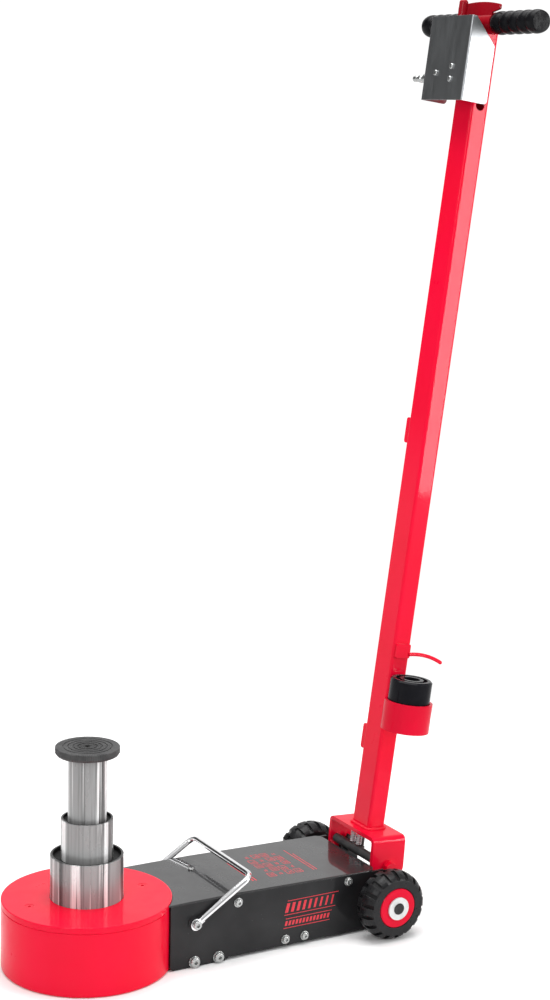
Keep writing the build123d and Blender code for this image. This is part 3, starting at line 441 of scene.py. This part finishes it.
def swept(path, radius, sides, closed):
    """Points and faces of a tube along a path. radius gives its radius so far along the path, in metres."""
    count = len(path)
    points = []
    faces = []
    travelled = 0.0
    side = None
    for i, point in enumerate(path):
        after = path[(i + 1) % count] if closed else path[min(i + 1, count - 1)]
        before = path[i - 1] if closed else path[max(i - 1, 0)]
        along = (after - before).normalized()
        if side is None:
            side = along.orthogonal().normalized()
        side = (side - along * side.dot(along)).normalized()
        across = along.cross(side)
        travelled += (point - before).length if i else 0.0
        for k in range(sides):
            turn = 2 * math.pi * k / sides
            points.append(point + (side * math.cos(turn) + across * math.sin(turn)) * radius(travelled))
    rings = count if closed else count - 1
    for i in range(rings):
        for k in range(sides):
            a = i * sides + k
            b = i * sides + (k + 1) % sides
            c = ((i + 1) % count) * sides + (k + 1) % sides
            d = ((i + 1) % count) * sides + k
            faces.append((a, b, c, d))
    if not closed:
        faces.append(tuple(reversed(range(sides))))
        faces.append(tuple(range((count - 1) * sides, count * sides)))
    return points, faces


def resample(corners, step, closed=False):
    """Evenly spaced points along straight runs between corners."""
    ends = corners[1:] + corners[:1] if closed else corners[1:]
    path = []
    for start, end in zip(corners, ends):
        pieces = max(1, round((end - start).length / step))
        path += [start.lerp(end, n / pieces) for n in range(pieces)]
    return path if closed else path + [corners[-1]]


def weld_bead(name, corners, size, closed=False):
    """Rippled weld bead on the handle along a path. size is its radius in millimetres."""
    path = resample(corners, 0.0006, closed)

    def radius(s):
        ripple = 0.10 * math.sin(2 * math.pi * s / 0.0026) + 0.07 * math.sin(2 * math.pi * s / 0.017 + 1)
        return size * MM * (1 + ripple)

    points, faces = swept(path, radius, 10, closed)
    return mesh_piece(name, points, faces, MATERIALS["weld"], "handle")


def tube_outline(depth, width, corner, steps=5):
    """Rounded rectangle as (x, y) in millimetres."""
    outline = []
    for sx, sy, start in ((1, 1, 0), (-1, 1, 90), (-1, -1, 180), (1, -1, 270)):
        for n in range(steps + 1):
            turn = math.radians(start + 90 * n / steps)
            x = sx * (depth / 2 - corner) + corner * math.cos(turn)
            y = sy * (width / 2 - corner) + corner * math.sin(turn)
            outline.append((x, y))
    return outline


def height_on_yoke(x, y):
    """Where a line up the handle at x, y starts, on the yoke's top face."""
    foot = on_handle(x, y, 0)
    return (YOKE_TOP - foot).dot(YOKE_UP) / HANDLE_UP.dot(YOKE_UP) / MM


def add_welds():
    outline = tube_outline(TUBE_DEPTH + 2 * FOOT_WELD_OFFSET, TUBE_WIDTH + 2 * FOOT_WELD_OFFSET,
                           TUBE_CORNER + FOOT_WELD_OFFSET)
    foot = [on_handle(x, y, height_on_yoke(x, y) + FOOT_WELD_RISE) for x, y in outline]
    weld_bead("tube_foot_weld", foot, FOOT_BEAD, closed=True)
    for side in (-1, 1):
        x = CROSSBAR_X + side * CROSSBAR_WELD_OFFSET
        rest = [on_handle(x, y, CROSSBAR_WELD_HEIGHT) for y in (-CROSSBAR_WELD_HALF, CROSSBAR_WELD_HALF)]
        weld_bead(f"crossbar_weld_{side + 1}", rest, CROSSBAR_BEAD)
        seam = [on_handle(side * HOLDER_WELD_X, HOLDER_WELD_Y, z) for z in HOLDER_WELD_ENDS]
        weld_bead(f"holder_weld_{side + 1}", seam, HOLDER_BEAD)
    for number, middle in enumerate(TAB_HEIGHTS):
        seam = [on_handle(TAB_WELD_X, TAB_WELD_Y, middle + z) for z in (-TAB_WELD_HALF, TAB_WELD_HALF)]
        weld_bead(f"tab_weld_{number}", seam, TAB_BEAD)


def wound_spring(name, place, length, radius, turns, steps, wire, inset, body):
    """Coil of round wire, in millimetres, whose ends stand in by the inset.

    place turns two offsets across the coil's axis and one along it into a point of the frame.
    """
    path = []
    for n in range(steps + 1):
        share = n / steps
        turn = 2 * math.pi * turns * share
        along = inset + (length - 2 * inset) * share
        path.append(place(radius * math.cos(turn), radius * math.sin(turn), along))
    points, faces = swept(path, lambda s: wire * MM, 8, False)
    return mesh_piece(name, points, faces, MATERIALS["spring"], body)


def add_lock_springs():
    """Springs over the lock bar. They stand on it and ride with it."""
    low, high = LOCK_SPRING_ENDS
    length = high - low
    for side in (-1, 1):
        middle_y = side * LOCK_SPRING_Y

        def place(back, across, up):
            return on_handle(LOCK_SPRING_X + back, middle_y + across, low + up)

        coil = wound_spring(f"lock_spring_{side + 1}", place, length, 3.75, 7.5, 260, 0.72, 0.75, "lock")
        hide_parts("lock_springs")
        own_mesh(coil)


def add_return_spring():
    """Spring that bears on the air piston and rides with it."""
    front, rear = RETURN_SPRING_ENDS
    length = rear - front

    def place(across, up, back):
        return Vector((front + back, across, PUMP_AXIS_Z + up)) * MM

    coil = wound_spring("return_spring_coil", place, length, 13.0, 6.5, 320, 1.3, 1.6, "pump_piston")
    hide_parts("return_spring")
    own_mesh(coil)


def flat_mark(name, shapes, at):
    """Flat printed shapes on the chassis. at turns a point of their outlines into a point of the frame."""
    points = []
    faces = []
    for shape in shapes:
        start = len(points)
        points += [at(u, v) for u, v in shape]
        faces.append(tuple(range(start, start + len(shape))))
    return mesh_piece(name, points, faces, MATERIALS["print"], "chassis", smooth=False)


def rectangle(u0, u1, v0, v1):
    return [(u0, v0), (u1, v0), (u1, v1), (u0, v1)]


def slanted(u0, u1, v0, v1):
    """Bar that leans a quarter of its height."""
    return [(u + v * 0.25, v) for u, v in rectangle(u0, u1, v0, v1)]


def side_marks(side):
    """Plain stripes on a side plate, between four rules."""
    left, right = 262, 348

    def at(u, v):
        return Vector((u, side * (SIDE_PLATE_Y + PRINT_LIFT), v)) * MM

    shapes = [slanted(left + n * 9.6, left + 5.2 + n * 9.3, 54, 68) for n in range(9)]
    shapes += [slanted(left, right, v, v + 1) for v in (71, 50)]
    shapes += [slanted(left + 4, right - 4, v, v + 1) for v in (44, 30)]
    shapes += [slanted(left + 5 + n * 5.9, left + 8.6 + n * 5.9, 34, 41) for n in range(13)]
    if side > 0:
        shapes = [[(left + right - u, v) for u, v in shape] for shape in shapes]
    return flat_mark(f"side_marks_{side + 1}", shapes, at)


def cover_marks():
    """Rows of boxes and short bars on the cover, like a printed table without words."""
    slope = (COVER_LEVEL_Z - COVER_REAR_Z) / (COVER_REAR_X - COVER_LEVEL_X)
    cell_u, cell_v = 11.5, 15.0
    line = 1.0

    def at(u, v):
        return Vector((u, v, COVER_LEVEL_Z - max(0.0, u - COVER_LEVEL_X) * slope + PRINT_LIFT)) * MM

    shapes = []
    for row in range(4):
        u = 272 + row * 15
        for column in range(5):
            v = -46 + column * 19
            if (row + column) % 3 != 1:
                shapes.append(rectangle(u, u + line, v, v + cell_v))
                shapes.append(rectangle(u + cell_u - line, u + cell_u, v, v + cell_v))
                shapes.append(rectangle(u + line, u + cell_u - line, v, v + line))
                shapes.append(rectangle(u + line, u + cell_u - line, v + cell_v - line, v + cell_v))
            shapes.append(rectangle(u + 4.0, u + 5.2, v + 3, v + 12 - (row * 7 + column * 3) % 5))
            shapes.append(rectangle(u + 7.0, u + 8.2, v + 3, v + 12 - (row * 5 + column) % 4))
    for n in range(2):
        shapes.append(rectangle(240 + n * 5, 242.2 + n * 5, -50, 30 - n * 12))
        shapes.append(rectangle(345 + n * 5, 346.4 + n * 5, -46, 44 - n * 18))
    return flat_mark("cover_marks", shapes, at)


# ---------------------------------------------------------------- studio

CAMERA_PLACE = Vector((-1.13503, -2.46534, 1.17351))
CAMERA_AZIMUTH = -30.89
CAMERA_ELEVATION = 10.55
CAMERA_ROLL = 1.45
CAMERA_LENS = 72.88
CAMERA_SHIFT = (-0.0290, 0.0027)

# Pale round floor: X and Y of its middle and its radius, in metres
FLOOR_DISC = (0.35, 0.25, 0.98)

# Screens round the object, from the ground up to the ceiling: degrees from the camera's side, positive to its
# right, with the brightness there
GROUND = ((-180, 1.0), (180, 1.0))
LOW_SCREENS = ((-180, 1.0), (-156, 1.0), (-144, 0.06), (-104, 0.06), (-92, 0.72), (-48, 0.72), (-34, 0.40),
               (34, 0.40), (48, 0.76), (74, 0.76), (92, 0.70), (140, 0.70), (156, 1.0), (180, 1.0))
HIGH_SCREENS = ((-180, 1.0), (-150, 1.0), (-138, 0.06), (-104, 0.06), (-92, 0.60), (-48, 0.60), (-34, 0.40),
                (34, 0.40), (48, 0.68), (74, 0.68), (92, 0.70), (140, 0.80), (156, 1.0), (180, 1.0))
CEILING = ((-180, 0.75), (180, 0.75))
WORLD_STRENGTH = 1.06

# Where each set of screens fades in over the one below it, as the sine of the elevation
SCREEN_FADES = ((LOW_SCREENS, -0.04, 0.01), (HIGH_SCREENS, 0.10, 0.20), (CEILING, 0.55, 0.80))

# Place, target, width and height, and power of each light
LIGHTS = {
    "overhead": ((0.3, 0.2, 3.0), (0.3, 0.2, 0.0), (2.4, 2.4), 88),
    "front": ((-2.3, -2.1, 2.0), (0.0, 0, 0.1), (1.4, 1.2), 36),
    "side": ((2.06, -2.15, 0.92), (0.6, 0, 0.92), (0.36, 1.5), 30),
}


def camera_axes():
    """Right, up and backward directions of the camera."""
    az, el, roll = (math.radians(v) for v in (CAMERA_AZIMUTH, CAMERA_ELEVATION, CAMERA_ROLL))
    back = Vector((math.sin(az) * math.cos(el), -math.cos(az) * math.cos(el), math.sin(el)))
    right = Vector((math.cos(az), math.sin(az), 0))
    up = back.cross(right)
    return right * math.cos(roll) + up * math.sin(roll), up * math.cos(roll) - right * math.sin(roll), back


def add_camera():
    """Camera at the photograph's place and angle."""
    data = bpy.data.cameras.new("camera")
    data.sensor_fit = "AUTO"
    data.sensor_width = 36
    data.lens = CAMERA_LENS
    data.shift_x, data.shift_y = CAMERA_SHIFT
    data.clip_end = 60
    obj = bpy.data.objects.new("camera", data)
    bpy.context.scene.collection.objects.link(obj)
    right, up, back = camera_axes()
    turn = Matrix((right, up, back)).transposed().to_4x4()
    obj.matrix_world = Matrix.Translation(CAMERA_PLACE) @ turn
    bpy.context.scene.camera = obj


def soft_light(name, place, target, size, power):
    """Rectangular light that faces its target. Places and sizes are in metres, and the power is in watts."""
    data = bpy.data.lights.new(name, "AREA")
    data.shape = "RECTANGLE"
    data.size, data.size_y = size
    data.energy = power
    obj = bpy.data.objects.new(name, data)
    obj.location = place
    obj.rotation_euler = (Vector(target) - Vector(place)).to_track_quat("-Z", "Y").to_euler()
    bpy.context.scene.collection.objects.link(obj)


def add_floor():
    """Round floor, small enough that its edge is white against white from every side."""
    middle_x, middle_y, radius = FLOOR_DISC
    rim = []
    for n in range(128):
        turn = 2 * math.pi * n / 128
        rim.append((middle_x + radius * math.cos(turn), middle_y + radius * math.sin(turn), 0))
    mesh = bpy.data.meshes.new("floor")
    mesh.from_pydata(rim, [], [tuple(range(128))])
    floor = bpy.data.objects.new("floor", mesh)
    bpy.context.scene.collection.objects.link(floor)
    surface = Surface("studio floor", (0.88, 0.88, 0.88), 0.75)
    surface.mottle(0.5, (0.85, 0.85, 0.85), 0.4)
    dress(floor, surface.smudges(0.2, 0.1).relief(0.01, 0.00002).done(0.001))


def backdrop(tree, turn, stops):
    """Grey screens all round, as a ramp over the turn from the camera's side."""
    ramp = tree.nodes.new("ShaderNodeValToRGB")
    ramp.color_ramp.interpolation = "EASE"
    elements = ramp.color_ramp.elements
    while len(elements) < len(stops):
        elements.new(0.5)
    for element, (degrees, grey) in zip(elements, stops):
        element.position = degrees / 360 + 0.5
        element.color = (grey, grey, grey, 1)
    tree.links.new(turn, ramp.inputs["Fac"])
    return ramp.outputs["Color"]


def set_world():
    """Studio of screens: white below and behind the object, and lighter and darker round its other sides."""
    world = bpy.data.worlds.new("studio")
    world.use_nodes = True
    tree = world.node_tree
    place = tree.nodes.new("ShaderNodeTexCoord").outputs["Generated"]
    azimuth = math.radians(CAMERA_AZIMUTH)
    axes = {
        "right": (math.cos(azimuth), math.sin(azimuth), 0),
        "near": (math.sin(azimuth), -math.cos(azimuth), 0),
    }
    parts = {}
    for key, axis in axes.items():
        dot = tree.nodes.new("ShaderNodeVectorMath")
        dot.operation = "DOT_PRODUCT"
        dot.inputs[1].default_value = axis
        tree.links.new(place, dot.inputs[0])
        parts[key] = dot.outputs["Value"]
    angle = tree.nodes.new("ShaderNodeMath")
    angle.operation = "ARCTAN2"
    tree.links.new(parts["right"], angle.inputs[0])
    tree.links.new(parts["near"], angle.inputs[1])
    turn = tree.nodes.new("ShaderNodeMapRange")
    turn.inputs["From Min"].default_value = -math.pi
    turn.inputs["From Max"].default_value = math.pi
    tree.links.new(angle.outputs[0], turn.inputs["Value"])
    height = tree.nodes.new("ShaderNodeSeparateXYZ")
    tree.links.new(place, height.inputs[0])
    color = backdrop(tree, turn.outputs["Result"], GROUND)
    for screens, low, high in SCREEN_FADES:
        rise = tree.nodes.new("ShaderNodeMapRange")
        rise.inputs["From Min"].default_value = low
        rise.inputs["From Max"].default_value = high
        tree.links.new(height.outputs["Z"], rise.inputs["Value"])
        mix = tree.nodes.new("ShaderNodeMix")
        mix.data_type = "RGBA"
        tree.links.new(rise.outputs["Result"], mix.inputs[0])
        tree.links.new(color, mix.inputs[6])
        tree.links.new(backdrop(tree, turn.outputs["Result"], screens), mix.inputs[7])
        color = mix.outputs[2]
    tree.links.new(color, tree.nodes["Background"].inputs["Color"])
    tree.nodes["Background"].inputs["Strength"].default_value = WORLD_STRENGTH
    bpy.context.scene.world = world


def add_studio():
    add_floor()
    set_world()
    for name, (place, target, size, power) in LIGHTS.items():
        soft_light(name, place, target, size, power)
    scene = bpy.context.scene
    scene.view_settings.view_transform = "Standard"
    scene.view_settings.look = "None"
    scene.view_settings.exposure = 0.0


MATERIALS = make_materials()
for material_name, node_names in NODE_MATERIALS.items():
    for node_name in node_names:
        dress(NODES[node_name], MATERIALS[material_name])
add_welds()
add_lock_springs()
add_return_spring()
side_marks(-1)
side_marks(1)
cover_marks()
add_studio()
add_camera()

bpy.context.view_layer.update()
